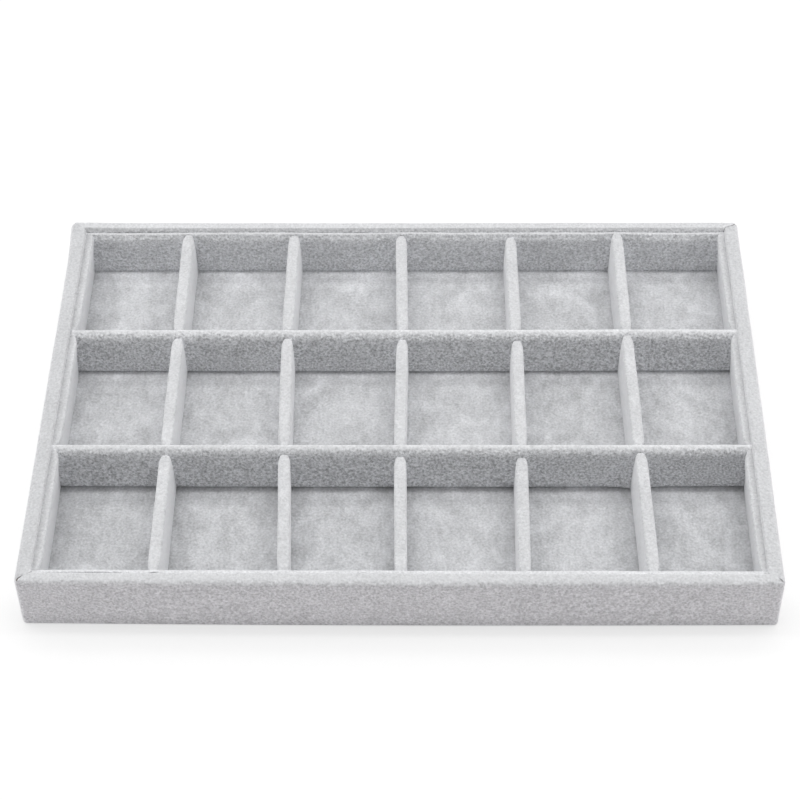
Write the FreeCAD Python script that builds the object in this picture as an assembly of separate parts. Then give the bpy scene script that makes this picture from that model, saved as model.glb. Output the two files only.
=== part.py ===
import FreeCAD, Part
import os
from math import acos, asin, atan2, cos, degrees, hypot, sin, sqrt

# Jewelry display tray: a board box wrapped in velvet, lined with velvet strips and split into
# compartments by velvet-sleeved dividers. Millimetres, +Z up, front wall towards -Y,
# origin at the middle of the underside.

# Overall size, measured over the velvet
tray_width = 350.0
tray_depth = 240.0
tray_height = 32.0
corner_round = 2.6
rim_round = 2.2
least_rim_flat = 0.4

# Boards, card and cloth
velvet_thickness = 0.7
wall_board_thickness = 5.2
base_board_thickness = 2.8
liner_card_thickness = 0.6

# Velvet band round the walls: turned-under hem, slits at the mitres, butt seam at the back
hem_width = 14.0
mitre_slit = 0.5
band_seam = 0.2

# Felt under the base, laid over the hem
felt_over_hem = 0.4
felt_inset = 3.0
felt_corner_round = 4.0

# Compartments
columns = 6
rows = 3

# The back row is this much shallower than an even share, and the other rows take up the difference
back_row_cut = 1.8

# Liner strips along the walls, pressed back by the divider ends and swelling between them
liner_drop = 1.5
liner_bow = 0.3
liner_fold = 0.5

# Dividers, measured over their velvet sleeves
divider_base_width = 5.8
divider_nose_width = 5.4
long_divider_drop = 0.6
short_divider_drop = 3.5
sleeve_overhang = 0.8
sleeve_seam = 0.3

# Room left at the ends of liners and dividers
end_clearance = 0.1

# Each bay of a liner is swept this much past its ends and then trimmed
sweep_past = 1.2

# Sizes that follow
rim_width = wall_board_thickness + 2 * velvet_thickness
base_bottom = felt_over_hem + velvet_thickness
base_top = base_bottom + base_board_thickness
floor_level = base_top + velvet_thickness
pocket_width = tray_width - 2 * rim_width
pocket_depth = tray_depth - 2 * rim_width
liner_thickness = liner_card_thickness + 2 * velvet_thickness
column_pitch = (pocket_width - 2 * liner_thickness + divider_base_width) / columns
row_pitch = (pocket_depth - 2 * liner_thickness + divider_base_width) / rows

vector = FreeCAD.Vector
up = vector(0, 0, 1)


def write(shape, node):
    shape.exportStep("parts/" + node + ".step")


def block(width, depth, bottom, top):
    """A block centred on the tray."""
    return Part.makeBox(width, depth, top - bottom, vector(-width / 2, -depth / 2, bottom))


def rounded_block(width, depth, radius, bottom, top):
    """A block centred on the tray, its four upright edges rounded."""
    plain = block(width, depth, bottom, top)
    uprights = [edge for edge in plain.Edges if edge.BoundBox.ZLength > (top - bottom) / 2]
    return plain.makeFillet(radius, uprights)


def rim_section(skin, bottom):
    """A wall's upright section in the YZ plane, its outer face towards -Y and both rim edges rounded.

    skin is how far the outline lies inside the velvet's face.
    """
    top = tray_height - skin
    outer, inner = skin, rim_width - skin
    radius = min(rim_round, (rim_width - least_rim_flat) / 2) - skin
    bend = radius * (1 - sqrt(0.5))
    outer_arc = Part.Arc(
        vector(0, outer, top - radius), vector(0, outer + bend, top - bend), vector(0, outer + radius, top)
    )
    inner_arc = Part.Arc(
        vector(0, inner - radius, top), vector(0, inner - bend, top - bend), vector(0, inner, top - radius)
    )
    flat = Part.LineSegment(outer_arc.EndPoint, inner_arc.StartPoint)
    below = Part.makePolygon(
        [inner_arc.EndPoint, vector(0, inner, bottom), vector(0, outer, bottom), outer_arc.StartPoint]
    )
    edges = [outer_arc.toShape(), flat.toShape(), inner_arc.toShape()] + below.Edges
    return Part.Face(Part.Wire(edges))


def make_walls(skin, bottom):
    """The four walls by side, mitred where they meet, with their outer corners rounded."""
    envelope = rounded_block(
        tray_width - 2 * skin, tray_depth - 2 * skin, corner_round - skin, bottom, tray_height
    )
    placing = {
        "front": (0, tray_width, tray_depth),
        "right": (90, tray_depth, tray_width),
        "back": (180, tray_width, tray_depth),
        "left": (270, tray_depth, tray_width),
    }
    walls = {}
    for side, (turn, length, across) in placing.items():
        bar = rim_section(skin, bottom).extrude(vector(length, 0, 0))
        ends = [(0, 0), (length, 0), (length - rim_width, rim_width), (rim_width, rim_width), (0, 0)]
        mitre = Part.Face(Part.makePolygon([vector(x, y, bottom) for x, y in ends]))
        wall = bar.common(mitre.extrude(up * tray_height))
        wall.translate(vector(-length / 2, -across / 2, 0))
        wall.rotate(vector(0, 0, 0), up, turn)
        walls[side] = wall.common(envelope)
    return walls


def make_bottom_felt():
    """Felt sheet under the tray, pressed thin where it covers the velvet hem."""
    sheet = rounded_block(
        tray_width - 2 * felt_inset, tray_depth - 2 * felt_inset, felt_corner_round, 0, felt_over_hem
    )
    middle = block(tray_width - 2 * hem_width, tray_depth - 2 * hem_width, felt_over_hem, base_bottom)
    return sheet.fuse(middle).removeSplitter()


def make_base_board():
    width = tray_width - 2 * velvet_thickness
    depth = tray_depth - 2 * velvet_thickness
    return rounded_block(width, depth, corner_round - velvet_thickness, base_bottom, base_top)


def corner_slits(inner_width, inner_depth, bottom, top):
    """Diagonal cuts from the four inner corners to just inside the velvet on the outer corners."""
    for x_side in (-1, 1):
        for y_side in (-1, 1):
            reach = corner_round - (corner_round - velvet_thickness) / sqrt(2)
            inner = vector(x_side * inner_width / 2, y_side * inner_depth / 2, bottom)
            outer = vector(
                x_side * (tray_width / 2 - reach), y_side * (tray_depth / 2 - reach), bottom
            )
            across = vector(-y_side, x_side, 0).normalize() * (mitre_slit / 2)
            past = (inner - outer).normalize() * mitre_slit
            outline = [inner + past + across, inner + past - across, outer - across, outer + across]
            face = Part.Face(Part.makePolygon(outline + outline[:1]))
            yield face.extrude(up * (top - bottom))


def make_wall_velvet(base_board, wall_boards):
    """One velvet band: up the inside, over the rim, down the outside and turned under the base."""
    hem = rounded_block(tray_width, tray_depth, corner_round, felt_over_hem, base_bottom)
    fold = [edge for edge in hem.Edges if edge.BoundBox.ZMax < base_bottom]
    hem = hem.makeChamfer(velvet_thickness / 2, fold)
    hem_opening = (tray_width - 2 * hem_width, tray_depth - 2 * hem_width, felt_over_hem, base_bottom)
    band = hem.cut(block(*hem_opening))
    for cover in make_walls(0, base_bottom).values():
        band = band.fuse(cover)
    band = band.removeSplitter().cut(base_board)
    for board in wall_boards.values():
        band = band.cut(board)
    for slit in corner_slits(pocket_width, pocket_depth, base_top, tray_height):
        band = band.cut(slit)
    for slit in corner_slits(*hem_opening):
        band = band.cut(slit)
    seam = block(band_seam, hem_width, 0, tray_height)
    return band.cut(seam.translated(vector(0, (tray_depth - hem_width) / 2, 0)))


def column_lines():
    """Middle lines of the short dividers from left to right, and a line half a divider beyond each liner."""
    return [(number - columns / 2) * column_pitch for number in range(columns + 1)]


def row_lines():
    """Middle lines of the long dividers from front to back, and a line half a divider beyond each liner."""
    step = row_pitch + back_row_cut / (rows - 1)
    front = -rows * row_pitch / 2
    return [front + number * step for number in range(rows)] + [-front]


def bow_radius(bay):
    return (bay**2 / 4 + liner_bow**2) / (2 * liner_bow)


def bow_depth(lines, from_line):
    """The most that a liner stands off its wall at a distance from a divider that presses it back."""
    bay = min(end - start for start, end in zip(lines, lines[1:]))
    return sqrt(bow_radius(bay) ** 2 - (bay / 2 - from_line) ** 2) - bow_radius(bay) + liner_bow


def liner_section(skin, bevel):
    """Upright strip in the YZ plane, standing on the floor, its back on Y = 0 when skin is 0."""
    back, front = skin, liner_thickness - skin
    top = tray_height - liner_drop - skin
    outline = [
        vector(0, back, floor_level),
        vector(0, front, floor_level),
        vector(0, front, top - bevel),
        vector(0, front - bevel, top),
        vector(0, back + bevel, top),
        vector(0, back, top - bevel),
    ]
    corners = outline if bevel else outline[:2] + [vector(0, front, top), vector(0, back, top)]
    return Part.Face(Part.makePolygon(corners + corners[:1]))


def bowed_strip(section, lines, length):
    """The section swept along a wall, swelling by the bow in each bay between two divider lines."""
    strip = None
    for start, end in zip(lines, lines[1:]):
        bay, middle = end - start, (start + end) / 2
        radius = bow_radius(bay)
        swing = degrees(asin(bay / 2 / radius)) * sweep_past
        pivot = vector(middle, liner_bow - radius, 0)
        face = section.translated(vector(middle, liner_bow, 0))
        face.rotate(pivot, up, swing)
        swell = face.revolve(pivot, up, -2 * swing)
        trim = block(bay, tray_depth, 0, tray_height).translated(vector(middle, 0, 0))
        swell = swell.common(trim)
        strip = swell if strip is None else strip.fuse(swell)
    return strip.removeSplitter().common(block(length, tray_depth, 0, tray_height))


def make_liners():
    """Card strips folded into velvet, standing on the floor against the four walls."""
    side_bow = bow_depth(row_lines(), divider_base_width / 2)
    corner_bow = bow_depth(column_lines(), divider_base_width / 2 + side_bow)
    side_length = pocket_depth - 2 * (liner_thickness + corner_bow + end_clearance)
    placing = {
        "front": (0, pocket_depth, column_lines(), pocket_width),
        "right": (90, pocket_width, row_lines(), side_length),
        "back": (180, pocket_depth, column_lines(), pocket_width),
        "left": (270, pocket_width, [-line for line in reversed(row_lines())], side_length),
    }
    for side, (turn, across, lines, length) in placing.items():
        card = bowed_strip(liner_section(velvet_thickness, 0), lines, length)
        velvet = bowed_strip(liner_section(0, liner_fold), lines, length).cut(card)
        for shape in (card, velvet):
            shape.translate(vector(0, -across / 2, 0))
            shape.rotate(vector(0, 0, 0), up, turn)
        yield side, card, velvet


def divider_section(drop, skin):
    """Tapered strip with a round nose, in the YZ plane and standing on the floor.

    skin is how far the outline lies inside the sleeve's outer face.
    """
    half_base = divider_base_width / 2
    nose = divider_nose_width / 2
    centre = tray_height - drop - floor_level - nose
    lean = acos(nose / hypot(half_base, centre)) - atan2(centre, half_base)
    foot = half_base - skin * (1 + sin(lean)) / cos(lean)
    touch_y = (nose - skin) * cos(lean)
    touch_z = floor_level + centre + (nose - skin) * sin(lean)
    crown = Part.Arc(
        vector(0, touch_y, touch_z),
        vector(0, 0, floor_level + centre + nose - skin),
        vector(0, -touch_y, touch_z),
    )
    sides = Part.makePolygon(
        [
            vector(0, -touch_y, touch_z),
            vector(0, -foot, floor_level + skin),
            vector(0, foot, floor_level + skin),
            vector(0, touch_y, touch_z),
        ]
    )
    return Part.Face(Part.Wire([crown.toShape()] + sides.Edges))


def divider_bar(drop, skin, length):
    """A divider's section run along X, centred on the origin."""
    bar = divider_section(drop, skin).extrude(vector(length, 0, 0))
    return bar.translated(vector(-length / 2, 0, 0))


def underside_seam(length):
    """Slot along the underside where the sleeve's two edges meet."""
    return block(length, sleeve_seam, floor_level, floor_level + velvet_thickness)


def make_long_divider():
    """Card core and velvet sleeve of a divider that crosses the tray from side to side."""
    pressed = bow_depth(row_lines(), divider_base_width / 2)
    length = pocket_width - 2 * (liner_thickness + pressed + end_clearance)
    card = divider_bar(long_divider_drop, velvet_thickness, length - 2 * sleeve_overhang)
    velvet = divider_bar(long_divider_drop, 0, length)
    velvet = velvet.cut(divider_bar(long_divider_drop, velvet_thickness, length))
    return card, velvet.cut(underside_seam(length))


def row_stops(shortening):
    """What the short dividers stop against: the long dividers, and the liners pressed back by them."""
    pressed = bow_depth(column_lines(), divider_base_width / 2)
    wall_stop = pocket_depth / 2 - liner_thickness - pressed - shortening
    beyond = block(pocket_width, tray_depth, 0, tray_height)
    stops = [beyond.cut(block(pocket_width, 2 * wall_stop, 0, tray_height))]
    for place in row_lines()[1:-1]:
        stop = divider_bar(long_divider_drop, -shortening, pocket_width)
        stops.append(stop.translated(vector(0, place, 0)))
    return stops


def make_short_divider(row, card_stops, velvet_stops):
    """Card core and velvet sleeve of a divider that splits one row, at the middle of the tray."""
    front, back = row_lines()[rows - row], row_lines()[rows - row + 1]
    length, middle = back - front, (front + back) / 2
    card = divider_bar(short_divider_drop, velvet_thickness, length)
    velvet = divider_bar(short_divider_drop, 0, length).cut(card).cut(underside_seam(length))
    for shape in (card, velvet):
        shape.rotate(vector(0, 0, 0), up, 90)
        shape.translate(vector(0, middle, 0))
    for stop in card_stops:
        card = card.cut(stop)
    for stop in velvet_stops:
        velvet = velvet.cut(stop)
    return card, velvet


os.makedirs("parts", exist_ok=True)

# Felt, boards and the velvet that covers them
base_board = make_base_board()
wall_boards = make_walls(velvet_thickness, base_top)
write(make_bottom_felt(), "bottom_felt")
write(base_board, "base_board")
for side, board in wall_boards.items():
    write(board, side + "_wall_board")
write(make_wall_velvet(base_board, wall_boards), "wall_velvet")
write(block(pocket_width, pocket_depth, base_top, floor_level), "floor_velvet")

# Liners
for side, card, velvet in make_liners():
    write(card, side + "_liner_card")
    write(velvet, side + "_liner_velvet")

# Long dividers, numbered from the back
long_card, long_velvet = make_long_divider()
for number, place in enumerate(row_lines()[-2:0:-1], start=1):
    write(long_card.translated(vector(0, place, 0)), f"long_divider_card_{number}")
    write(long_velvet.translated(vector(0, place, 0)), f"long_divider_velvet_{number}")

# Short dividers, numbered by row from the back and by place from the left
card_stops = row_stops(end_clearance + sleeve_overhang)
velvet_stops = row_stops(end_clearance)
for row in range(1, rows + 1):
    short_card, short_velvet = make_short_divider(row, card_stops, velvet_stops)
    for number, line in enumerate(column_lines()[1:-1], start=1):
        across = vector(line, 0, 0)
        write(short_card.translated(across), f"short_divider_card_{row}_{number}")
        write(short_velvet.translated(across), f"short_divider_velvet_{row}_{number}")
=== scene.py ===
import math
import random

import bmesh
import bpy
from mathutils import Matrix, Vector, noise


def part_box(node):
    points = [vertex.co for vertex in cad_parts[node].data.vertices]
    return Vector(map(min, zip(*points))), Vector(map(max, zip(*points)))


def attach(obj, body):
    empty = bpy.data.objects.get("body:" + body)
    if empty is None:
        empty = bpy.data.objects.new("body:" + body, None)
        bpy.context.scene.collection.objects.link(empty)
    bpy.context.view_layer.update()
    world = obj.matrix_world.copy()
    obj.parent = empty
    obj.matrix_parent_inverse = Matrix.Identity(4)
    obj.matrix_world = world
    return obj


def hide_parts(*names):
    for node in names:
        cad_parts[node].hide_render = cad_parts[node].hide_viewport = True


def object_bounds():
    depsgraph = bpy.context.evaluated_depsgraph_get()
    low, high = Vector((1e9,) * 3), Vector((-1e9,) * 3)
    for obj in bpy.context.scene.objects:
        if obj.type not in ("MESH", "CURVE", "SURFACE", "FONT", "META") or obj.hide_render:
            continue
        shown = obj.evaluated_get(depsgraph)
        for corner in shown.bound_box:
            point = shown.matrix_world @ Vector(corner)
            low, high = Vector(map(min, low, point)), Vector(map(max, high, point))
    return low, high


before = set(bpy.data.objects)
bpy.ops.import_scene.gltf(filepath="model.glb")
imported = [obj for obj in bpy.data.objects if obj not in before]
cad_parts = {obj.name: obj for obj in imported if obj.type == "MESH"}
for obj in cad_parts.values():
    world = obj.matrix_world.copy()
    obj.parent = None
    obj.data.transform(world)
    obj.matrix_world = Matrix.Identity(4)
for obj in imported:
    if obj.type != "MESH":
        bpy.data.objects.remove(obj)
cad_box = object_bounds()


# Underside felt: a thin dark grey sheet of needled felt with round corners, glued over the turned-under velvet.
# The tray stands on it, and the inner edge of the velvet hem shows through it as a soft step.
felt_low, felt_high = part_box("bottom_felt")
felt_thickness = 0.0004
felt_corner = 0.004
felt_grid = 0.006
felt_ripple, felt_ripple_size, felt_seed = 0.00006, 0.02, 1
felt_grey = (0.22, 0.22, 0.23)
hem_width = 0.014
hem_step = 0.00035
smooth_up_to = math.radians(50)
close = 1e-5


def edit_only(piece):
    """Opens one piece alone in edit mode."""
    if bpy.context.mode != "OBJECT":
        bpy.ops.object.mode_set(mode="OBJECT")
    bpy.ops.object.select_all(action="DESELECT")
    bpy.context.view_layer.objects.active = piece
    piece.select_set(True)
    bpy.ops.object.mode_set(mode="EDIT")


def cut_across(axis, low, high, step):
    """Cuts everything in edit mode by evenly spaced planes across one axis."""
    count = max(2, round((high - low) / step))
    direction = Vector((0, 0, 0))
    direction[axis] = 1
    for number in range(1, count):
        place = direction * (low + (high - low) * number / count)
        bpy.ops.mesh.select_all(action="SELECT")
        bpy.ops.mesh.bisect(plane_co=place, plane_no=direction, threshold=close / 10)


def mould(piece, moved):
    """Moves every point of a piece one by one, in object mode."""
    bpy.ops.object.mode_set(mode="OBJECT")
    for point in piece.data.vertices:
        point.co = moved(point.co.copy())
    piece.data.update()


def give_thickness(piece, thickness):
    """Turns an open sheet into cloth with two faces and cut edges, thickened away from its outer face."""
    wall = piece.modifiers.new("cloth thickness", "SOLIDIFY")
    wall.thickness = thickness
    wall.offset = -1
    bpy.ops.object.modifier_apply(modifier=wall.name)
    bpy.ops.object.shade_smooth_by_angle(angle=smooth_up_to)


def wander(place, size, seed):
    """A smooth random value between about -1 and 1 for hand-laid cloth."""
    return noise.noise(place / size + Vector((seed * 7.3, seed * 3.1, seed * 5.7)))


bpy.ops.object.select_all(action="DESELECT")
bpy.ops.mesh.primitive_plane_add(size=1, location=(0, 0, 0), rotation=(math.pi, 0, 0))
underside_felt = bpy.context.object
underside_felt.name = "underside_felt"
underside_felt.scale = (felt_high.x - felt_low.x, felt_high.y - felt_low.y, 1)
bpy.ops.object.transform_apply(location=True, rotation=True, scale=True)
edit_only(underside_felt)
bpy.ops.mesh.select_all(action="SELECT")
bpy.ops.mesh.bevel(offset=felt_corner, segments=6, affect="VERTICES")
cut_across(0, felt_low.x, felt_high.x, felt_grid)
cut_across(1, felt_low.y, felt_high.y, felt_grid)


def felt_laid(point):
    inside = min(cad_box[1].x - abs(point.x), cad_box[1].y - abs(point.y)) - hem_width
    share = min(1, max(0, inside / felt_grid + 0.5))
    ripple = felt_ripple * (1 + wander(point, felt_ripple_size, felt_seed))
    return Vector((point.x, point.y, hem_step * share * share * (3 - 2 * share) + ripple))


mould(underside_felt, felt_laid)
give_thickness(underside_felt, felt_thickness)


def math_node(tree, kind, first, second, third=None):
    """A math node fed by sockets or plain numbers; gives its output."""
    step = tree.nodes.new("ShaderNodeMath")
    step.operation = kind
    for socket, value in zip(step.inputs, (first, second, third)):
        if isinstance(value, (int, float)):
            socket.default_value = value
        elif value is not None:
            tree.links.new(value, socket)
    return step.outputs[0]


def set_inputs(node, values):
    """Sets plain values on a node's inputs."""
    for socket, value in values.items():
        node.inputs[socket].default_value = value


def noise_node(tree, place, scale, **settings):
    """A noise texture at a place, scaled by a socket or a plain number; gives its value."""
    texture = tree.nodes.new("ShaderNodeTexNoise")
    tree.links.new(place, texture.inputs["Vector"])
    if isinstance(scale, (int, float)):
        texture.inputs["Scale"].default_value = scale
    else:
        tree.links.new(scale, texture.inputs["Scale"])
    set_inputs(texture, settings)
    return texture.outputs["Fac"]


def new_group(name, inputs):
    """A node group that gives a colour and a height, with its entry, its exit and the piece's own coordinates."""
    group = bpy.data.node_groups.new(name, "ShaderNodeTree")
    for socket, value in inputs.items():
        kind = "NodeSocketFloat" if isinstance(value, float) else "NodeSocketColor"
        group.interface.new_socket(socket, in_out="INPUT", socket_type=kind).default_value = value
    group.interface.new_socket("Colour", in_out="OUTPUT", socket_type="NodeSocketColor")
    group.interface.new_socket("Height", in_out="OUTPUT", socket_type="NodeSocketFloat")
    nodes = group.nodes
    return group, nodes.new("NodeGroupInput"), nodes.new("NodeGroupOutput"), nodes.new("ShaderNodeTexCoord")


def close_group(group, entry, leave, tone, height):
    """Sends a group's colour out at a tone, and its height."""
    tint = group.nodes.new("ShaderNodeHueSaturation")
    group.links.new(entry.outputs["Colour"], tint.inputs["Color"])
    group.links.new(tone, tint.inputs["Value"])
    group.links.new(tint.outputs["Color"], leave.inputs["Colour"])
    group.links.new(height, leave.inputs["Height"])


def fibre_group():
    """Matted fibres: flecks and short tangled strands in a base colour, with a fine surface relief."""
    group, entry, leave, place = new_group(
        "matted fibres", {"Colour": (0.5, 0.5, 0.5, 1), "Fleck Scale": 600.0, "Strand Scale": 250.0, "Contrast": 0.4}
    )
    flecks = noise_node(group, place.outputs["Object"], entry.outputs["Fleck Scale"], Detail=3)
    strands = noise_node(group, place.outputs["Object"], entry.outputs["Strand Scale"], Detail=4, Distortion=3.0)
    both = math_node(group, "ADD", flecks, strands)
    swing = math_node(group, "SUBTRACT", both, 1.0)
    tone = math_node(group, "MULTIPLY_ADD", swing, entry.outputs["Contrast"], 1.0)
    close_group(group, entry, leave, tone, both)
    return group


matted_fibres = fibre_group()


def grouped_material(name, group, pattern_values, surface_values, bump_values):
    """A material whose colour and relief come from a node group; gives its surface and group nodes too."""
    material = bpy.data.materials.new(name)
    material.use_nodes = True
    nodes, links = material.node_tree.nodes, material.node_tree.links
    surface, pattern, bump = nodes["Principled BSDF"], nodes.new("ShaderNodeGroup"), nodes.new("ShaderNodeBump")
    pattern.node_tree = group
    for node, values in ((surface, surface_values), (pattern, pattern_values), (bump, bump_values)):
        set_inputs(node, values)
    links.new(pattern.outputs["Height"], bump.inputs["Height"])
    links.new(bump.outputs["Normal"], surface.inputs["Normal"])
    return material, surface, pattern


def fibre_material(name, colour, flecks, strands, contrast, relief, roughness, sheen):
    material, surface, fibres = grouped_material(
        name,
        matted_fibres,
        {"Colour": (*colour, 1), "Fleck Scale": flecks, "Strand Scale": strands, "Contrast": contrast},
        {"Roughness": roughness, "Specular IOR Level": 0.25, "Sheen Weight": sheen, "Sheen Roughness": 0.6},
        {"Strength": 0.6, "Distance": relief},
    )
    material.node_tree.links.new(fibres.outputs["Colour"], surface.inputs["Base Color"])
    return material


underside_felt.data.materials.append(
    fibre_material(
        "needled felt", felt_grey, flecks=900, strands=260, contrast=0.7, relief=0.0004, roughness=0.95, sheen=0.2
    )
)
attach(underside_felt, "root")
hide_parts("bottom_felt")


# Base board: a sheet of brown hardboard between the felt and the floor velvet, sawn to size with rounded corners.
# The walls stand on it, and the velvet band is turned under its edge. The CAD solid is kept.
hardboard_brown = (0.33, 0.22, 0.13)


def dress(nodes, material):
    """Gives CAD nodes whose shape is right their finish."""
    for name in nodes:
        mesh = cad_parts[name].data
        mesh.materials.clear()
        mesh.materials.append(material)


hardboard = fibre_material(
    "pressed hardboard", hardboard_brown, flecks=1400, strands=420, contrast=0.5, relief=0.0001, roughness=0.7, sheen=0
)
dress(["base_board"], hardboard)


# Wall boards: four strips of medium-density fibreboard, mitred at the corners and rounded along the rim.
# They are glued on the base board's edge and hidden by the velvet band. The CAD solids are kept.
sides = ("front", "right", "back", "left")
fibreboard_brown = (0.2, 0.16, 0.13)
fibreboard = fibre_material(
    "fibreboard", fibreboard_brown, flecks=2200, strands=700, contrast=0.35, relief=0.00008, roughness=0.85, sheen=0
)
dress([side + "_wall_board" for side in sides], fibreboard)


# Wall velvet: one band of short-pile grey velvet, glued up the inside of the walls, over the rim, down the outside
# and under the base. It is slit along the rim's mitres, and its two ends butt together at the back right corner.
velvet_grey = (0.69, 0.695, 0.71)
velvet_thickness = 0.00045
wall_low, wall_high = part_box("wall_velvet")
floor_low, floor_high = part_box("floor_velvet")
rim_width = wall_high.x - floor_high.x
rim_bend, rim_inner_bend, hem_bend = 0.0024, 0.0024, 0.0009
back_rim_squareness, back_rim_start = 4, 0.9
front_bulge = 0.0009
corner_bulge, corner_lift, corner_reach = 0.0011, 0.0007, 0.02
hem_sag, hem_fold_height, hem_fold_width = 0.0003, 0.001, 0.004
wall_grid = 0.004
wall_pull, wall_pull_size, wall_pull_seeds = 0.00013, 0.022, (2, 3, 4)
wall_ease, wall_ease_size, wall_ease_seeds = 0.0002, 0.09, (5, 6)
held_under_floor, held_inside = 0.25, 0.3
# For each inner face: how far it lies behind the pocket's side, and how wide and deep its bend at the rim is.
inner_bends = {
    "front": (0.00055, 0.0013, 0.0019),
    "side": (-0.0009, 0.0009, 0.0012),
    "back": (0.00055, 0.0019, 0.0024),
}
# For each corner: how wide the mitre's slit is at its outer and inner end.
mitre_slits = {
    (-1, -1): (0.0009, 0.00045),
    (1, -1): (0.0005, 0.0003),
    (1, 1): (0.0006, 0.00035),
    (-1, 1): (0.00015, 0.0001),
}
slit_stop = 0.0009
slit_reach_back, slit_reach_aside = 0.002, 0.006
band_seam = 0.0002
# Painted light and shade on the pile: a tone for each rim, a painted highlight over the bend inside the front rim, and
# painted shade step by step down the back rim's bend.
rim_painted_light = {"front": 0.985, "right": 0.945, "back": 1.05, "left": 0.905}
rim_depth = 0.0012
front_bend_highlight = 0.12
back_bend_painted_shade = (1.0, 0.72, 0.7, 0.78, 0.95, 1.0)
painted_shade_below, painted_shade_slant = 0.001, 0.05
long_edge = 0.008
square_on = 0.99


def choose(piece, kind, wanted):
    """Selects the edges or faces of the piece in edit mode that wanted() accepts."""
    bpy.ops.mesh.select_mode(type={"edges": "EDGE", "faces": "FACE"}[kind])
    bpy.ops.mesh.select_all(action="DESELECT")
    shape = bmesh.from_edit_mesh(piece.data)
    for item in getattr(shape, kind):
        if wanted(item):
            item.select_set(True)
    bmesh.update_edit_mesh(piece.data)


def new_block(name, size, middle):
    """A box to shape, alone in edit mode."""
    bpy.ops.object.select_all(action="DESELECT")
    bpy.ops.mesh.primitive_cube_add(size=1, location=middle)
    block = bpy.context.object
    block.name = name
    block.scale = size
    bpy.ops.object.transform_apply(location=True, rotation=True, scale=True)
    edit_only(block)
    return block


wall_velvet = new_block("wall_velvet_band", wall_high - wall_low, (wall_low + wall_high) / 2)
choose(wall_velvet, "faces", lambda face: face.normal.z > square_on)
bpy.ops.mesh.inset(thickness=rim_width)
bpy.ops.mesh.extrude_region_move(TRANSFORM_OT_translate={"value": (0, 0, floor_low.z - wall_high.z)})
bpy.ops.mesh.delete(type="FACE")
choose(wall_velvet, "faces", lambda face: face.normal.z < -square_on)
bpy.ops.mesh.inset(thickness=hem_width)
bpy.ops.mesh.delete(type="FACE")


def runs(edge, axis, least=close):
    """Whether an edge runs along an axis for more than a least length."""
    return abs(edge.verts[0].co[axis] - edge.verts[1].co[axis]) > least


def heights(edge):
    """The heights of an edge's lower and upper end."""
    return sorted(point.co.z for point in edge.verts)


def bend_edges(piece, wanted, offset, segments):
    """Rounds the edges of the piece in edit mode that wanted() accepts."""
    choose(piece, "edges", wanted)
    bpy.ops.mesh.bevel(offset=offset, segments=segments, profile=0.5, affect="EDGES")


def cut_slit(piece, near, cuts, inside):
    """Cuts the faces near a slit along both its sides, and takes out the cloth between the cuts."""
    for place, direction in cuts:
        choose(piece, "faces", near)
        bpy.ops.mesh.bisect(plane_co=place, plane_no=direction, threshold=close / 10)
    choose(piece, "faces", lambda face: near(face) and inside(face.calc_center_median()))
    bpy.ops.mesh.delete(type="FACE")


def on_outside(point):
    return abs(abs(point.x) - wall_high.x) < close or abs(abs(point.y) - wall_high.y) < close


def outer_edge(edge):
    a, b = edge.verts[0].co, edge.verts[1].co
    upright = runs(edge, 2, long_edge) and abs(abs(a.x) - wall_high.x) < close
    along_rim = heights(edge)[0] > wall_high.z - close and on_outside(a) and on_outside(b)
    return upright or along_rim


def inner_rim_edge(edge):
    return all(
        point.co.z > wall_high.z - close
        and abs(max(abs(point.co.x) - floor_high.x, abs(point.co.y) - floor_high.y)) < close
        for point in edge.verts
    )


def hem_fold_edge(edge):
    flat = [abs(face.normal.z) > square_on for face in edge.link_faces]
    return heights(edge)[1] < wall_low.z + close and True in flat and False in flat


bend_edges(wall_velvet, outer_edge, rim_bend, segments=6)
bend_edges(wall_velvet, inner_rim_edge, rim_inner_bend, segments=5)
bend_edges(wall_velvet, hem_fold_edge, hem_bend, segments=3)
cut_across(0, wall_low.x + rim_width, wall_high.x - rim_width, wall_grid)
cut_across(1, wall_low.y + rim_width, wall_high.y - rim_width, wall_grid)
cut_across(2, wall_low.z + hem_fold_height, wall_high.z - rim_bend, wall_grid)

for (x_side, y_side), (wide, narrow) in mitre_slits.items():
    inner_corner = Vector((x_side * floor_high.x, y_side * floor_high.y, 0))
    outward = Vector((x_side, y_side, 0)).normalized()
    across = Vector((-outward.y, outward.x, 0))
    reach = rim_width * math.sqrt(2)
    slit_sides = []
    for hand in (-1, 1):
        start = inner_corner + across * hand * narrow / 2
        end = inner_corner + outward * reach + across * hand * wide / 2
        slit_sides.append((start, (end - start).cross(Vector((0, 0, 1))).normalized()))

    def by_the_slit(face):
        centre = face.calc_center_median()
        off = centre - inner_corner
        depth = min(wall_high.x - abs(centre.x), wall_high.y - abs(centre.y))
        on_mitre = abs(off.dot(across)) < slit_reach_aside and off.dot(outward) > -slit_reach_back
        return on_mitre and depth > slit_stop and centre.z > floor_low.z

    def in_the_slit(centre):
        off = centre - inner_corner
        share = min(1, max(0, off.dot(outward) / reach))
        return abs(off.dot(across)) < (narrow + (wide - narrow) * share) / 2

    cut_slit(wall_velvet, by_the_slit, slit_sides, in_the_slit)

seam_corner = Vector((floor_high.x, floor_high.y, 0))
seam_across = Vector((-1, 1, 0)).normalized()


def by_the_seam(face):
    off = face.calc_center_median() - seam_corner
    return min(off.x, off.y) > -hem_width


cut_slit(
    wall_velvet,
    by_the_seam,
    [(seam_corner + seam_across * hand * band_seam / 2, seam_across) for hand in (-1, 1)],
    lambda centre: abs((centre - seam_corner).dot(seam_across)) < band_seam / 2,
)


def faded(distance, length):
    """1 at a place, falling off smoothly over a length."""
    return math.exp(-((distance / length) ** 2))


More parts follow.
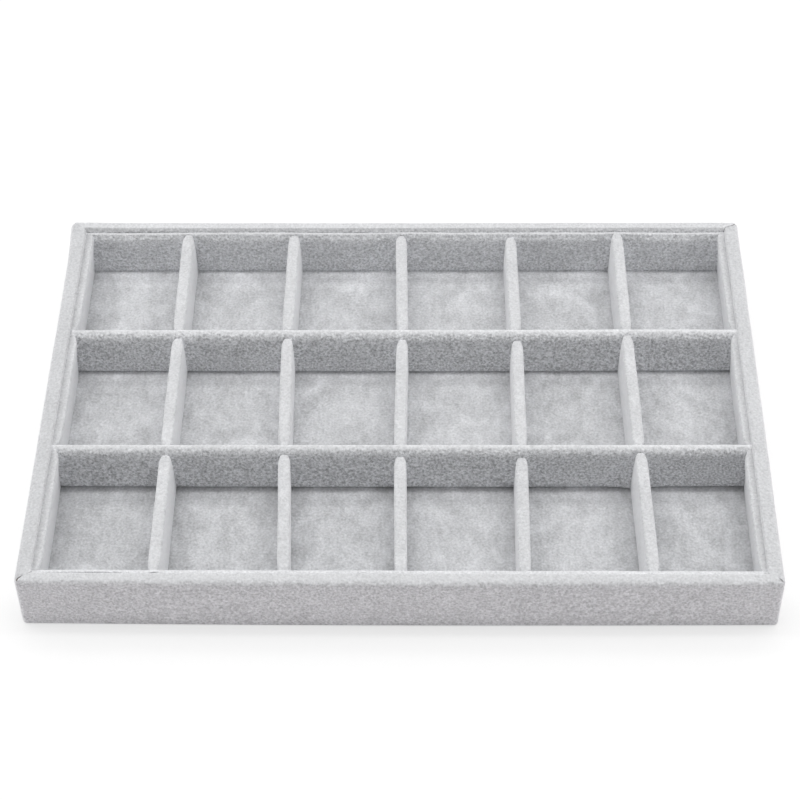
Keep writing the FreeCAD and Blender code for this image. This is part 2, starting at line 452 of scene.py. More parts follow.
def wall_cloth(point):
    """Squares the back rim, bulges the front, sags the lower fold, fills the back left corner and eases the cloth."""
    outer_back = wall_high.y - rim_bend
    if point.y > outer_back and point.z > wall_high.z - rim_bend:
        bend = Vector(((point.y - outer_back) / rim_bend, (point.z - wall_high.z) / rim_bend + 1))
        if bend.length > back_rim_start:
            power = back_rim_squareness
            bend *= bend.length / (bend.x**power + bend.y**power) ** (1 / power)
            point.y = outer_back + bend.x * rim_bend
            point.z = wall_high.z + (bend.y - 1) * rim_bend
    if point.y < floor_low.y:
        outward = min(1, (floor_low.y - point.y) / rim_width)
        point.y -= front_bulge * outward * (1 - (point.x / wall_high.x) ** 2)
    by_edge = abs(point.x) > wall_high.x - hem_fold_width or abs(point.y) > wall_high.y - hem_fold_width
    if by_edge and point.z < wall_low.z + hem_fold_height:
        point.z -= hem_sag * (1 - (point.z - wall_low.z) / hem_fold_height)
    held = held_under_floor if point.z < floor_low.z else 1
    out = Vector((abs(point.x) - floor_high.x, abs(point.y) - floor_high.y))
    if point.z > floor_high.z and max(out) > -close and max(out) < rim_inner_bend + close:
        held = held_inside
        along = ("side", "back" if point.y > 0 else "front")
        faces = [axis for axis in (0, 1) if out[axis] > -close]
        if wall_high.z - point.z < rim_inner_bend + close:
            depth = sum(inner_bends[along[axis]][2] for axis in faces) / len(faces)
            point.z = wall_high.z - (wall_high.z - point.z) * depth / rim_inner_bend
        for axis in faces:
            behind, width, depth = inner_bends[along[axis]]
            drawn = behind + out[axis] * width / rim_inner_bend
            point[axis] = math.copysign(floor_high[axis] + drawn, point[axis])
    if point.x < 0 < point.y:
        by_back = faded(wall_high.y - point.y, corner_reach)
        by_left = faded(point.x - wall_low.x, corner_reach)
        outward = min(1, max(0, out.x / rim_width))
        point.x -= corner_bulge * by_back * outward
        point.z += corner_lift * by_back * by_left * max(0, point.z / wall_high.z) ** 4
    pull = Vector([wander(point, wall_pull_size, seed) for seed in wall_pull_seeds])
    ease = Vector([wander(point, wall_ease_size, seed) for seed in wall_ease_seeds] + [0])
    return point + (pull * wall_pull + ease * wall_ease) * held


def wall_painted_light(point):
    """Painted light and shade: a tone for each rim, highlight over the front rim's bend, shade inside the back rim."""
    out = Vector((abs(point.x) - floor_high.x, abs(point.y) - floor_high.y))
    if out.x > out.y:
        wall = "right" if point.x > 0 else "left"
    else:
        wall = "back" if point.y > 0 else "front"
    # Painted light and shade: each rim has its own tone near its top.
    tone = 1 + (rim_painted_light[wall] - 1) * min(1, max(0, 2 - (wall_high.z - point.z) / rim_depth))
    if wall not in ("front", "back"):
        return tone
    behind, width, depth = inner_bends[wall]
    turned = (floor_high.y + behind + width - abs(point.y)) / width
    if point.z < wall_high.z - depth - painted_shade_below or turned < 0:
        return tone
    # Painted highlight over the bend inside the front rim.
    if wall == "front":
        return tone * (1 + front_bend_highlight * min(1, 2 * turned))
    # Painted shade, step by step down the bend inside the back rim, a little lighter towards the right.
    last = len(back_bend_painted_shade) - 1
    step = math.asin(min(1, turned)) / (math.pi / 2) * last
    low_tone, high_tone = back_bend_painted_shade[int(step)], back_bend_painted_shade[min(int(step) + 1, last)]
    slant = painted_shade_slant * turned * point.x / wall_high.x
    return tone * (low_tone + (high_tone - low_tone) * (step - int(step)) + slant)


def paint_light_and_shade(piece, tone):
    """Writes the painted light and shade of a piece's pile at each point, for its material."""
    painted_light = piece.data.attributes.new("painted_light", "FLOAT", "POINT")
    for number, point in enumerate(piece.data.vertices):
        painted_light.data[number].value = tone(point.co)


def lay_cloth(piece, laid, tone, material):
    """Makes a shaped sheet cloth: lays it, paints light and shade on its pile, and gives it its thickness and its
    velvet.
    """
    mould(piece, laid)
    paint_light_and_shade(piece, tone)
    give_thickness(piece, velvet_thickness)
    piece.data.materials.append(material)


def velvet_group():
    """Short velvet pile: tufts and brushed clouds, painted shade on tufts facing front or back, and painted light and
    shade.
    """
    group, entry, leave, place = new_group(
        "velvet pile",
        {
            "Colour": (0.6, 0.61, 0.63, 1),
            "Tuft Scale": 850.0,
            "Tuft Contrast": 0.8,
            "Shaded Tuft Contrast": 1.6,
            "Cloud Scale": 80.0,
            "Cloud Contrast": 0.2,
            "Painted Light": 1.0,
        },
    )
    here, given = place.outputs["Object"], entry.outputs
    turned, facing = group.nodes.new("ShaderNodeMapping"), group.nodes.new("ShaderNodeSeparateXYZ")
    set_inputs(turned, {"Rotation": (0.3, 0.2, 0.6), "Scale": (1.0, 0.35, 0.7)})
    group.links.new(here, turned.inputs["Vector"])
    group.links.new(place.outputs["Normal"], facing.inputs[0])

    tufts = noise_node(group, here, given["Tuft Scale"], Detail=2, Roughness=0.65)
    clouds = noise_node(group, here, given["Cloud Scale"], Detail=4, Roughness=0.55, Distortion=0.8)
    strokes = noise_node(group, turned.outputs["Vector"], 300, Detail=3)
    ridges = noise_node(group, here, math_node(group, "MULTIPLY", given["Tuft Scale"], 0.6), Detail=1)

    nap = math_node(group, "MULTIPLY_ADD", strokes, 0.4, math_node(group, "MULTIPLY", clouds, 0.8))
    # Painted shade: tufts show stronger on faces looking front or back, as if light from above and the sides grazed
    # their pile.
    upright = math_node(group, "POWER", math_node(group, "ABSOLUTE", facing.outputs["Y"], 0), 2.0)
    spread = math_node(group, "SUBTRACT", given["Shaded Tuft Contrast"], given["Tuft Contrast"])
    contrast = math_node(group, "MULTIPLY_ADD", upright, spread, given["Tuft Contrast"])
    tuft_tone = math_node(group, "MULTIPLY", math_node(group, "SUBTRACT", tufts, 0.5), contrast)
    nap_tone = math_node(group, "MULTIPLY", math_node(group, "SUBTRACT", nap, 0.6), given["Cloud Contrast"])
    tone = math_node(group, "ADD", math_node(group, "ADD", tuft_tone, nap_tone), 1.0)
    tone = math_node(group, "MINIMUM", math_node(group, "MAXIMUM", tone, 0.5), 1.38)
    # The piece's painted light and shade scales the pile's tone.
    close_group(group, entry, leave, math_node(group, "MULTIPLY", tone, given["Painted Light"]), ridges)
    return group


velvet_pile = velvet_group()


def velvet_material(name, colour, tufts, shaded_tufts, cloud_scale, clouds, relief):
    """Velvet: its pile's colour and relief, and a painted sheen that turns the colour paler at glancing angles."""
    material, surface, pile = grouped_material(
        name,
        velvet_pile,
        {
            "Colour": (*colour, 1),
            "Tuft Contrast": tufts,
            "Shaded Tuft Contrast": shaded_tufts,
            "Cloud Scale": cloud_scale,
            "Cloud Contrast": clouds,
        },
        {"Roughness": 0.95, "Specular IOR Level": 0.1, "Sheen Weight": 0.22, "Sheen Roughness": 0.35},
        {"Strength": 1.0, "Distance": relief},
    )
    nodes, links = material.node_tree.nodes, material.node_tree.links
    # The painted light and shade written on the piece's points.
    painted_light, glancing = nodes.new("ShaderNodeAttribute"), nodes.new("ShaderNodeLayerWeight")
    # Painted sheen: the base colour turns paler where the surface is seen at a glancing angle.
    painted_sheen_share, painted_sheen = nodes.new("ShaderNodeMapRange"), nodes.new("ShaderNodeMixRGB")
    painted_light.attribute_name = "painted_light"
    painted_sheen_share.interpolation_type = "SMOOTHSTEP"
    set_inputs(glancing, {"Blend": 0.5})
    set_inputs(painted_sheen_share, {"From Min": 0.45, "To Max": 0.6})
    set_inputs(painted_sheen, {"Color2": (0.9, 0.905, 0.92, 1)})
    links.new(painted_light.outputs["Fac"], pile.inputs["Painted Light"])
    links.new(glancing.outputs["Facing"], painted_sheen_share.inputs["Value"])
    links.new(painted_sheen_share.outputs["Result"], painted_sheen.inputs["Fac"])
    links.new(pile.outputs["Colour"], painted_sheen.inputs["Color1"])
    links.new(painted_sheen.outputs["Color"], surface.inputs["Base Color"])
    return material


wall_material = velvet_material(
    "wall velvet", velvet_grey, tufts=0.6, shaded_tufts=1.45, cloud_scale=45, clouds=0.22, relief=0.001
)
lay_cloth(wall_velvet, wall_cloth, wall_painted_light, wall_material)
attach(wall_velvet, "root")
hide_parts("wall_velvet")


# Floor velvet: one sheet of the same velvet glued flat on the base board, from wall to wall under the dividers.
# Its nap is brushed over in cloudy patches. Painted light and shade make each compartment lighter in its middle
# than by its sides.
floor_grey = (0.655, 0.66, 0.675)
floor_grid = 0.003
floor_ripple, floor_ripple_size, floor_seed = 0.00012, 0.018, 8
floor_size = floor_high - floor_low
column_boxes = [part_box(f"short_divider_velvet_2_{number}") for number in range(1, 6)]
row_boxes = [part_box(f"long_divider_velvet_{number}") for number in (2, 1)]
column_lines = [(low.x + high.x) / 2 for low, high in column_boxes]
row_lines = [(low.y + high.y) / 2 for low, high in row_boxes]
# For each row from the front, painted light and shade: the tone in the middle of a compartment, how far it falls to
# the sides, and in the back quarter how much lighter the middle and how much darker the sides get.
floor_painted_light = ((1.05, 0.19, 0.0, 0.5), (1.035, 0.1, 0.24, 0.0), (1.08, 0.16, 0.22, 0.0))

bpy.ops.object.select_all(action="DESELECT")
bpy.ops.mesh.primitive_grid_add(
    x_subdivisions=round(floor_size.x / floor_grid),
    y_subdivisions=round(floor_size.y / floor_grid),
    size=1,
    location=(0, 0, floor_high.z),
)
floor_velvet = bpy.context.object
floor_velvet.name = "floor_velvet_sheet"
floor_velvet.scale = (floor_size.x, floor_size.y, 1)
bpy.ops.object.transform_apply(location=True, rotation=True, scale=True)


def floor_laid(point):
    return point + Vector((0, 0, floor_ripple * (wander(point, floor_ripple_size, floor_seed) - 1)))


def floor_painted_tone(point):
    """Painted light and shade: lightest in the middle of each compartment; the back quarter differs from row to row."""
    column = sum(point.x > line for line in column_lines)
    row = sum(point.y > line for line in row_lines)
    left, right = ([floor_low.x] + column_lines + [floor_high.x])[column : column + 2]
    front, back = ([floor_low.y] + row_lines + [floor_high.y])[row : row + 2]
    aside = (2 * (point.x - left) / (right - left) - 1) ** 2
    far = max(0, 4 * (point.y - front) / (back - front) - 3) ** 2
    middle, fall, far_middle, far_side = floor_painted_light[row]
    return middle - fall * aside + far * (far_middle * (1 - aside) - far_side * aside)


floor_material = velvet_material(
    "floor velvet", floor_grey, tufts=0.85, shaded_tufts=1.0, cloud_scale=60, clouds=0.95, relief=0.0008
)
lay_cloth(floor_velvet, floor_laid, floor_painted_tone, floor_material)
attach(floor_velvet, "root")
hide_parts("floor_velvet")


# Liners: strips of grey card folded into velvet and stood on the floor along the four walls, a little below the rim.
# Divider ends press them back; between dividers they swell, and leave a thin dark gap behind the front and back ones.
# The cards keep their CAD solids.
card_grey = (0.4, 0.38, 0.35)
# Thickness at the top and at the foot.
liner_tops = {"front": 0.0018, "right": 0.0048, "back": 0.0026, "left": 0.0051}
liner_feet = {"front": 0.0019, "right": 0.0024, "back": 0.0017, "left": 0.0024}
# The bend of the fold, how far it comes down the face, and how flat it is, from 0 for round to 1 for a facet.
liner_folds = {"front": 0.0008, "right": 0.0009, "back": 0.0011, "left": 0.0009}
liner_drops = {"front": 0.0012, "right": 0.0025, "back": 0.0032, "left": 0.0025}
liner_facets = {"front": 0.0, "right": 0.2, "back": 0.8, "left": 0.2}
back_fold_drop = 0.4
# How far the top falls towards the wall, how far it stands up, and how far the back reaches behind the wall's face.
liner_falls = {"front": 0.0, "right": 0.0003, "back": 0.0, "left": 0.0003}
liner_lifts = {"front": 0.0, "right": 0.0002, "back": 0.0002, "left": 0.0002}
liner_behind = {"front": 0.0004, "right": -0.0003, "back": 0.0004, "left": -0.0003}
lifted_top = 0.004
# The gap behind the strip in each bay between two dividers.
liner_gaps = {
    "front": (0.0007, 0.0002, 0.0002, 0.0001, 0.0001, 0.0001),
    "right": (0.0, 0.0001, 0.0),
    "back": (0.0002, 0.0001, 0.00015, 0.0002, 0.0001, 0.0002),
    "left": (0.0, 0.0001, 0.0),
}
# Painted light and shade on the pile by the wall, on the fold and on the face: shade by the side walls, light on the
# front liner's top and on the back liner's face.
liner_painted_light = {"front": (1.14, 1.14, 1.0), "right": (0.76, 1.0, 1.0), "back": (1.0, 1.0, 1.1), "left": (0.74, 1.0, 1.0)}
liner_face_below = 0.002
liner_tuck = 0.0024
liner_pressed, liner_press_edge = 0.0019, 12
liner_bow, liner_swell, liner_swell_seed = 0.00015, (0.7, 1.1), 40
liner_flare = 1.5
liner_ripple, liner_ripple_size, liner_ripple_seed = 0.00012, 0.016, 20
liner_rise, liner_rise_size, liner_rise_seed = 0.00025, 0.02, 30
front_liner_dents = (0.001, 0.001, 0.0004, 0.0004, 0.0006)
dent_width = 0.0014
upright_cuts, liner_cuts = 7, 200
# How far the near and far end of each short divider lie off their column's line, by row from the back.
laid_off = {
    1: ((-0.0005, -0.0005), (-0.0015, -0.0011), (-0.0002, -0.0017), (-0.0001, -0.0012), (-0.0008, -0.0021)),
    2: ((0.0, -0.0003), (0.0001, -0.0016), (-0.0005, -0.0002), (0.0009, 0.0006), (0.0008, -0.0008)),
    3: ((0.0008, 0.0004), (0.0032, 0.0), (0.0009, -0.0003), (0.0008, 0.001), (0.0028, 0.0012)),
}
pressed_lines = {
    "front": [line + off[0] for line, off in zip(column_lines, laid_off[3])],
    "right": row_lines,
    "back": [line + off[1] for line, off in zip(column_lines, laid_off[1])],
    "left": row_lines,
}
grey_board = fibre_material(
    "grey board", card_grey, flecks=1600, strands=380, contrast=0.3, relief=0.00006, roughness=0.9, sheen=0
)
dress([side + "_liner_card" for side in sides], grey_board)
liner_material = velvet_material(
    "liner velvet", velvet_grey, tufts=0.6, shaded_tufts=1.75, cloud_scale=60, clouds=0.3, relief=0.001
)


def divide(piece, axis, cuts):
    """Cuts the long edges that run along an axis into equal lengths."""
    choose(piece, "edges", lambda edge: runs(edge, axis, long_edge))
    bpy.ops.mesh.subdivide(number_cuts=cuts)


def refold(below, fold, drop, tall):
    """Stretches the fold at a strip's top edge to another height, and eases the rest of the strip to suit."""
    if below < fold:
        return below * drop / fold
    return tall - (tall - below) * (tall - drop) / (tall - fold)


for order, side in enumerate(sides):
    low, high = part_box(side + "_liner_velvet")
    along_x = side in ("front", "back")
    length = high.x - low.x if along_x else high.y - low.y
    wall_face = floor_high.y if along_x else floor_high.x
    tall = high.z - low.z
    liner_thickness, liner_fold = liner_tops[side], liner_folds[side]
    lines = pressed_lines[side]
    if side in ("back", "left"):
        lines = [-line for line in reversed(lines)]
    before, after = 2 * lines[0] - lines[1], 2 * lines[-1] - lines[-2]
    lines = [min(before, -length / 2)] + lines + [max(after, length / 2)]

    liner_size = (length + (0 if along_x else liner_tuck), liner_thickness, tall)
    liner = new_block(side + "_liner", liner_size, (0, liner_thickness / 2, (low.z + high.z) / 2))
    choose(liner, "faces", lambda face: face.normal.z < -square_on or abs(face.normal.x) > square_on)
    bpy.ops.mesh.delete(type="FACE")
    bend_edges(liner, lambda edge: runs(edge, 0) and heights(edge)[0] > high.z - close, liner_fold, segments=5)
    divide(liner, 2, upright_cuts)
    divide(liner, 0, liner_cuts)
    swell = random.Random(liner_swell_seed + order)
    swells = [liner_bow * swell.uniform(*liner_swell) for _ in lines[1:]]
    gaps = liner_gaps[side]
    dents = list(zip(lines[1:-1], front_liner_dents)) if side == "front" else []

    def liner_stood(point):
        bay = max([n for n in range(len(lines) - 1) if lines[n] <= point.x + close], default=0)
        start, end = lines[bay], lines[bay + 1]
        share = min(1, max(-1, 2 * (point.x - start) / (end - start) - 1))
        below = high.z - point.z
        frontness = min(1, max(0, point.y / liner_thickness))
        if frontness > 0.5 and below < liner_fold:
            frontness += liner_facets[side] * (1 - (liner_fold - below) / liner_thickness - frontness)
        bow = (gaps[bay] + (swells[bay] - gaps[bay]) * frontness) * (1 - share * share)
        bow -= liner_behind[side] * (1 - frontness)
        bow += sum(depth * faded(point.x - line, dent_width) for line, depth in dents) * (1 - frontness)
        stood = (point.z - low.z) / tall
        free = liner_feet[side] + (liner_thickness - liner_feet[side]) * max(0, stood) ** liner_flare
        thick = liner_pressed + (free - liner_pressed) * (1 - share**liner_press_edge)
        drop = liner_drops[side] if frontness > 0.5 else back_fold_drop * liner_fold
        below = refold(below, liner_fold, drop, tall)
        stray = liner_ripple * wander(point, liner_ripple_size, liner_ripple_seed + order)
        along = Vector((point.x, 0, 0))
        rise = liner_rise * wander(along, liner_rise_size, liner_rise_seed + order) * (1 - below / tall)
        rise += (liner_lifts[side] - liner_falls[side] * (1 - frontness)) * max(0, 1 - below / lifted_top)
        return Vector((point.x, thick * frontness + bow + stray, high.z - below + rise))

    # Painted light and shade on the liner's pile, as listed for its side.
    def liner_painted_tone(point):
        by_wall, on_fold, on_face = liner_painted_light[side]
        if high.z - point.z > liner_face_below:
            return on_face
        return by_wall + (on_fold - by_wall) * min(1, max(0, 2 * point.y / liner_thickness)) ** 2

    lay_cloth(liner, liner_stood, liner_painted_tone, liner_material)
    turned_round = Matrix.Rotation(math.radians(90 * order), 4, "Z") @ Matrix.Translation((0, -wall_face, 0))
    mould(liner, lambda point: turned_round @ point)
    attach(liner, "root")
    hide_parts(side + "_liner_velvet")


# Long dividers: two tall strips of board in velvet sleeves, glued across the tray from liner to liner. The sleeve is
# pulled round the strip into a round nose and folded in at its ends, and its edges meet along the underside.
# The strips keep their CAD solids.
long_low, long_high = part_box("long_divider_velvet_1")
long_length = long_high.x - long_low.x
long_foot = long_high.y - long_low.y
long_nose = 0.0056
long_height = long_high.z - long_low.z
foot_curve = 1.6
sleeve_seam = 0.0003
# How far each divider is shifted, and how far skewed at its ends.
long_skews = {1: (0.0001, 0.0003), 2: (-0.0002, 0.0003)}
long_lean, long_lean_size, long_lean_seed = 0.0001, 0.05, 50
# Where the foot of the sleeve sags off the strip in front: place, depth and width.
foot_sag = {1: (), 2: ((0.1135, 0.0016, 0.007),)}
foot_sag_height = 0.3
long_spread = 0.0006
# How far the crest reaches over the left and the right liner, and over which length and height.
crest_reach = {1: (0.0005, 0.0022), 2: (0.002, 0.0024)}
crest_length, crest_start, crest_height = 0.01, 0.85, 0.1
# A painted highlight along the back of each long divider's crest: how much lighter, and over which width it fades.
crest_highlight = 1.2
crest_fade = 0.0012
pile_stray, pile_stray_start = 0.00013, 6
long_pile_sizes, long_pile_seeds = (0.013, 0.017), (52, 54)
dress(["long_divider_card_1", "long_divider_card_2"], grey_board)
divider_material = velvet_material(
    "divider velvet", velvet_grey, tufts=0.6, shaded_tufts=2.2, cloud_scale=60, clouds=0.35, relief=0.001
)


def nose_section(share, foot, nose):
    """Half the width of a divider at a share of its height: a spread foot that narrows to its nose."""
    return (nose + (foot - nose) * (1 - min(1, max(0, share))) ** foot_curve) / 2


def make_sleeve(name, length, foot, nose, height, nose_bend, nose_drop, foot_bend, cuts):
    """A sleeve along X on the floor, folded in at both ends, with a round nose and a seam underneath.

    The nose's edges are bent by nose_bend across the sleeve and by nose_drop down its faces.
    """
    sleeve = new_block(name, (length, nose, height), (0, 0, height / 2))
    bend_edges(sleeve, lambda edge: runs(edge, 0) and heights(edge)[0] > height - close, nose_bend, segments=6)
    bend_edges(sleeve, lambda edge: runs(edge, 0) and heights(edge)[1] < close, foot_bend, segments=4)
    cut_slit(
        sleeve,
        lambda face: face.normal.z < -square_on,
        [((0, hand * sleeve_seam / 2, 0), (0, 1, 0)) for hand in (-1, 1)],
        lambda centre: abs(centre.y) < sleeve_seam / 2,
    )
    divide(sleeve, 2, upright_cuts)
    divide(sleeve, 0, cuts)

    def sleeve_section(point):
        drop = refold(height - point.z, nose_bend, nose_drop, height)
        width = nose_section((height - drop) / height, foot, nose) * 2 / nose
        return Vector((point.x, point.y * width, height - drop))

    mould(sleeve, sleeve_section)
    return sleeve


def copy_of(piece, name):
    """A copy of a plain piece, with its own mesh."""
    bpy.ops.object.select_all(action="DESELECT")
    piece.select_set(True)
    bpy.context.view_layer.objects.active = piece
    bpy.ops.object.duplicate()
    bpy.context.object.name = name
    return bpy.context.object


plain_long_sleeve = make_sleeve(
    "long_sleeve",
    long_length,
    long_foot,
    long_nose,
    long_height,
    nose_bend=0.0026,
    nose_drop=0.0048,
    foot_bend=0.0018,
    cuts=100,
)

for number in (1, 2):
    low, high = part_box(f"long_divider_velvet_{number}")
    middle = (low.y + high.y) / 2
    shift, skew = long_skews[number]
    sleeve = copy_of(plain_long_sleeve, f"long_divider_{number}")

    def long_laid(point):
        share = point.z / long_height
        lean = long_lean * wander(Vector((point.x, 0, point.z)), long_lean_size, long_lean_seed + number)
        aside, up = (wander(point, size, seed + number) for size, seed in zip(long_pile_sizes, long_pile_seeds))
        sag = sum(
            depth * faded(point.x - place, width) * max(0, 1 - share / foot_sag_height) ** 2
            for place, depth, width in foot_sag[number]
            if point.y < 0
        )
        to_end = long_length / 2 - abs(point.x)
        reach = crest_reach[number][0 if point.x < 0 else 1]
        reach *= faded(to_end, crest_length) * min(1, max(0, (share - crest_start) / crest_height))
        along = point.x + math.copysign(reach, point.x)
        spread = long_spread * (1 - (2 * point.x / long_length) ** 2) * (1 - share) if point.y < 0 else 0
        across = middle + point.y + shift + skew * 2 * point.x / long_length + lean - sag - spread
        pile = Vector((0, aside, up)) * pile_stray
        return Vector((along, across, low.z + point.z)) + pile * min(1, share * pile_stray_start)

    # Painted highlight along the back of the crest.
    def crest_painted_highlight(point):
        behind = (point.y - middle) / crest_fade
        top = 1 - (low.z + long_height - point.z) / (2 * crest_fade)
        return 1 + (crest_highlight - 1) * min(1, max(0, behind + 0.5)) * min(1, max(0, top))

    lay_cloth(sleeve, long_laid, crest_painted_highlight, divider_material)
    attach(sleeve, "root")
    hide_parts(f"long_divider_velvet_{number}")
bpy.data.objects.remove(plain_long_sleeve)


# Short dividers: five strips of board in velvet sleeves in each of the three rows, a little lower than the long ones.
# Each is cut and glued in by hand, with its ends against long dividers or liners, and has its own skew, lean and slope.
# Strips and sleeves are both modelled here, so that they follow each other.
short_low, short_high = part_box("short_divider_velvet_2_3")
short_length = short_high.y - short_low.y
short_foot = short_high.x - short_low.x
short_nose = 0.0059
short_height = short_high.z - short_low.z
strip_low, strip_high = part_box("short_divider_card_2_3")
strip_length, strip_tall = strip_high.y - strip_low.y, strip_high.z - strip_low.z
strip_bend = 0.0019
strip_cuts = 8
strip_smooth_up_to = math.radians(40)
# How far the top stands above the regular height at the far and the near end, by row from the back.
far_end_rise = {
    1: (0.0032, 0.0027, 0.0024, 0.0012, 0.0042),
    2: (0.0009, 0.0011, 0.0003, -0.0003, 0.0034),
    3: (0.0001, 0.0006, -0.0006, -0.0013, 0.002),
}
near_end_rise = {1: 0.001, 2: 0.0003, 3: 0.0003}
# How far the top leans to the right.
leans = {
    1: (0.0, -0.0002, 0.0, 0.0004, 0.0004),
    2: (0.0, 0.0001, 0.0, 0.0004, 0.0004),
    3: (-0.0003, 0.0007, 0.0, 0.0004, 0.0006),
}
# How much narrower a sleeve gets near its ends and at their upper tips, how far the tips droop, and over which length.
end_pinch, end_pinch_length = 0.1, 0.005
tip_pinch, tip_pinch_length = 0.35, 0.0022
tip_droop, tip_droop_length = 0.0008, 0.0015
short_bend, short_bend_size = 0.0001, 0.04
short_pile_sizes = (0.012, 0.016)
short_seed, seeds_each_row, seeds_each = 60, 15, 3
plain_tone = 1.0
plain_short_sleeve = make_sleeve(
    "short_sleeve",
    short_length,
    short_foot,
    short_nose,
    short_height,
    nose_bend=0.0012,
    nose_drop=0.0014,
    foot_bend=0.0003,
    cuts=36,
)

strip_size = (strip_length, strip_high.x - strip_low.x, strip_tall)
plain_strip = new_block("short_strip", strip_size, (0, 0, strip_tall / 2))
bend_edges(plain_strip, lambda edge: runs(edge, 0) and heights(edge)[0] > strip_tall - close, strip_bend, segments=4)
divide(plain_strip, 0, strip_cuts)
bpy.ops.object.mode_set(mode="OBJECT")


for row in (1, 2, 3):
    for number in (1, 2, 3, 4, 5):
        low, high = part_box(f"short_divider_velvet_{row}_{number}")
        middle = (low.x + high.x) / 2
        near_off, far_off = laid_off[row][number - 1]
        near_rise, far_rise = near_end_rise[row], far_end_rise[row][number - 1]
        lean = leans[row][number - 1]
        hand_seed = short_seed + seeds_each_row * row + seeds_each * number
        strip = copy_of(plain_strip, f"short_strip_{row}_{number}")
        strip_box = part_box(f"short_divider_card_{row}_{number}")

        def strip_laid(point):
            along, share = point.x / strip_length + 0.5, point.z / strip_tall
            return Vector((
                middle - point.y + near_off + (far_off - near_off) * along + lean * share,
                strip_box[0].y + (strip_box[1].y - strip_box[0].y) * along,
                strip_box[0].z + point.z + (near_rise + (far_rise - near_rise) * along) * share,
            ))

        mould(strip, strip_laid)
        bpy.ops.object.shade_smooth_by_angle(angle=strip_smooth_up_to)
        strip.data.materials.append(grey_board)
        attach(strip, "root")
        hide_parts(f"short_divider_card_{row}_{number}")

        sleeve = copy_of(plain_short_sleeve, f"short_divider_{row}_{number}")

        def short_laid(point):
            along, share = point.x / short_length + 0.5, point.z / short_height
            slope = long_foot / 2 - nose_section(point.z / long_height, long_foot, long_nose)
            front = low.y - (slope if row < 3 else 0)
            back = high.y + (slope if row > 1 else 0)
            aside, up = (wander(point, size, hand_seed + n) for n, size in enumerate(short_pile_sizes))
            pile = Vector((aside, 0, up)) * pile_stray
            bend = short_bend * wander(Vector((point.x, 0, 0)), short_bend_size, hand_seed + 2)
            to_end = min(along, 1 - along) * short_length
            pinch = 1 - end_pinch * faded(to_end, end_pinch_length) * share
            pinch -= tip_pinch * faded(to_end, tip_pinch_length) * share**6
            droop = tip_droop * faded(to_end, tip_droop_length) * share**4
            rise = (near_rise + (far_rise - near_rise) * along) * share
            off = near_off + (far_off - near_off) * along
            across = middle - point.y * pinch + off + lean * share + bend
            laid = Vector((across, front + (back - front) * along, low.z + point.z + rise - droop))
            return laid + pile * min(1, share * pile_stray_start)

        lay_cloth(sleeve, short_laid, lambda point: plain_tone, divider_material)
        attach(sleeve, "root")
        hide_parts(f"short_divider_velvet_{row}_{number}")
bpy.data.objects.remove(plain_short_sleeve)
bpy.data.objects.remove(plain_strip)


# Studio floor: a white sheet under the tray. The camera sees it lifted to white by a glow; its soft shadow is partly
# real, on a dim sheet under the glow, and partly painted, where the glow dims with ambient occlusion near the tray,
# most in front of it. The light that it throws back on the tray is that of a plain white sheet.
sheet_width, sheet_below = 6, 0.0002
sheet_glow = 0.84
bpy.ops.object.select_all(action="DESELECT")
bpy.ops.mesh.primitive_plane_add(size=sheet_width, location=(0, 0, -sheet_below))
studio_floor = bpy.context.object
studio_floor.name = "studio_floor"
white_sheet = bpy.data.materials.new("white sheet")
white_sheet.use_nodes = True
sheet_tree = white_sheet.node_tree
nodes, links = sheet_tree.nodes, sheet_tree.links
nodes.remove(nodes["Principled BSDF"])


def seen_directly(tree):
    """1 for rays that show something to the camera, straight, by gloss or through glass."""
    ray = tree.nodes.new("ShaderNodeLightPath").outputs
    straight_or_gloss = math_node(tree, "MAXIMUM", ray["Is Camera Ray"], ray["Is Glossy Ray"])
    return math_node(tree, "MAXIMUM", straight_or_gloss, ray["Is Transmission Ray"])


plain_sheet, dim_sheet = nodes.new("ShaderNodeBsdfDiffuse"), nodes.new("ShaderNodeBsdfDiffuse")
set_inputs(plain_sheet, {"Color": (0.88, 0.845, 0.865, 1)})
set_inputs(dim_sheet, {"Color": (0.2, 0.2, 0.2, 1)})
sheet_place, sheet_axes = nodes.new("ShaderNodeTexCoord"), nodes.new("ShaderNodeSeparateXYZ")
in_front, hidden_near = nodes.new("ShaderNodeMapRange"), nodes.new("ShaderNodeAmbientOcclusion")
set_inputs(hidden_near, {"Distance": 0.04})
set_inputs(in_front, {"From Min": -0.12, "From Max": -0.1, "To Min": 0.37, "To Max": 0.1})
links.new(sheet_place.outputs["Object"], sheet_axes.inputs[0])
links.new(sheet_axes.outputs["Y"], in_front.inputs["Value"])
# Painted shadow: the glow dims where ambient occlusion finds the tray near, most in front of it.
hidden = math_node(sheet_tree, "SUBTRACT", 1.0, hidden_near.outputs["AO"])
painted_shadow = math_node(sheet_tree, "MULTIPLY", hidden, in_front.outputs["Result"])
glow, lifted, seen = (nodes.new("ShaderNode" + kind) for kind in ("Emission", "AddShader", "MixShader"))
links.new(math_node(sheet_tree, "MULTIPLY_ADD", painted_shadow, -sheet_glow, sheet_glow), glow.inputs["Strength"])
links.new(dim_sheet.outputs[0], lifted.inputs[0])
links.new(glow.outputs[0], lifted.inputs[1])
links.new(seen_directly(sheet_tree), seen.inputs[0])
links.new(plain_sheet.outputs[0], seen.inputs[1])
links.new(lifted.outputs[0], seen.inputs[2])
links.new(seen.outputs[0], nodes["Material Output"].inputs["Surface"])
studio_floor.data.materials.append(white_sheet)


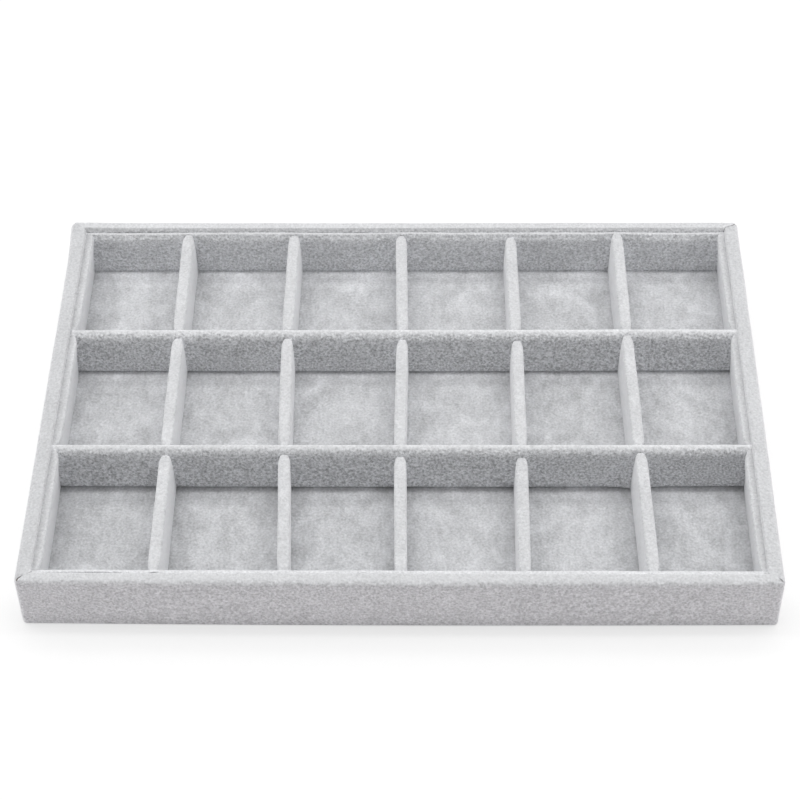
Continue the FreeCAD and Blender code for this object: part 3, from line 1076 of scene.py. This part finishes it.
# Studio light: a white tent with large soft lamps at both sides, above and behind the tray, and a low fill in front,
# so that tops and side faces are bright and the faces towards the camera lie in soft shade.
tent_light = 0.3
scene = bpy.context.scene
scene.view_settings.view_transform = "Standard"
tent = bpy.data.worlds.new("white tent")
scene.world = tent
tent.use_nodes = True
tent_cloth = tent.node_tree.nodes["Background"]
set_inputs(tent_cloth, {"Color": (1, 1, 1, 1)})
tent_strength = math_node(tent.node_tree, "MULTIPLY_ADD", seen_directly(tent.node_tree), 1 - tent_light, tent_light)
tent.node_tree.links.new(tent_strength, tent_cloth.inputs["Strength"])

for name, place, size, power in (
    ("left lamp", (-1.09, -0.08, 0.47), (0.4, 0.6), 4.3),
    ("right lamp", (1.09, -0.08, 0.47), (0.4, 0.6), 4.3),
    ("top lamp", (0.0, 0.16, 1.6), (2.4, 0.16), 12.6),
    ("back lamp", (0.0, 0.65, 1.5), (2.0, 0.2), 4.9),
    ("front fill", (0.0, -1.3, 0.1), (1.6, 0.1), 1.5),
):
    lamp = bpy.data.lights.new(name, "AREA")
    lamp.shape = "RECTANGLE"
    lamp.size, lamp.size_y = size
    lamp.energy = power
    holder = bpy.data.objects.new(name, lamp)
    holder.location = place
    holder.rotation_euler = (Vector((0, 0, 0)) - Vector(place)).to_track_quat("-Z", "Y").to_euler()
    holder.visible_camera = False
    scene.collection.objects.link(holder)


# Camera: in front of the tray and above it, looking down at about 47 degrees through a long lens.
# Its place, turn and lens were fitted to the tray's corners and edges in the photograph.
photo_pixels, focal_pixels = 800, 2173
camera_place = (0.0195, -0.7263, 0.8095)
pitch, yaw, roll = math.radians(47.244), math.radians(-1.611), math.radians(-1.145)
view = bpy.data.cameras.new("camera")
view.sensor_width = 36
view.lens = focal_pixels / photo_pixels * view.sensor_width
view.clip_start = 0.05
camera = bpy.data.objects.new("camera", view)
forward = Vector((math.sin(yaw) * math.cos(pitch), math.cos(yaw) * math.cos(pitch), -math.sin(pitch)))
right = Vector((math.cos(yaw), -math.sin(yaw), 0))
upward = right.cross(forward)
right, upward = (
    math.cos(roll) * right + math.sin(roll) * upward,
    -math.sin(roll) * right + math.cos(roll) * upward,
)
camera_turn = Matrix((right, upward, -forward)).transposed().to_4x4()
camera.matrix_world = Matrix.Translation(camera_place) @ camera_turn
scene.collection.objects.link(camera)
scene.camera = camera
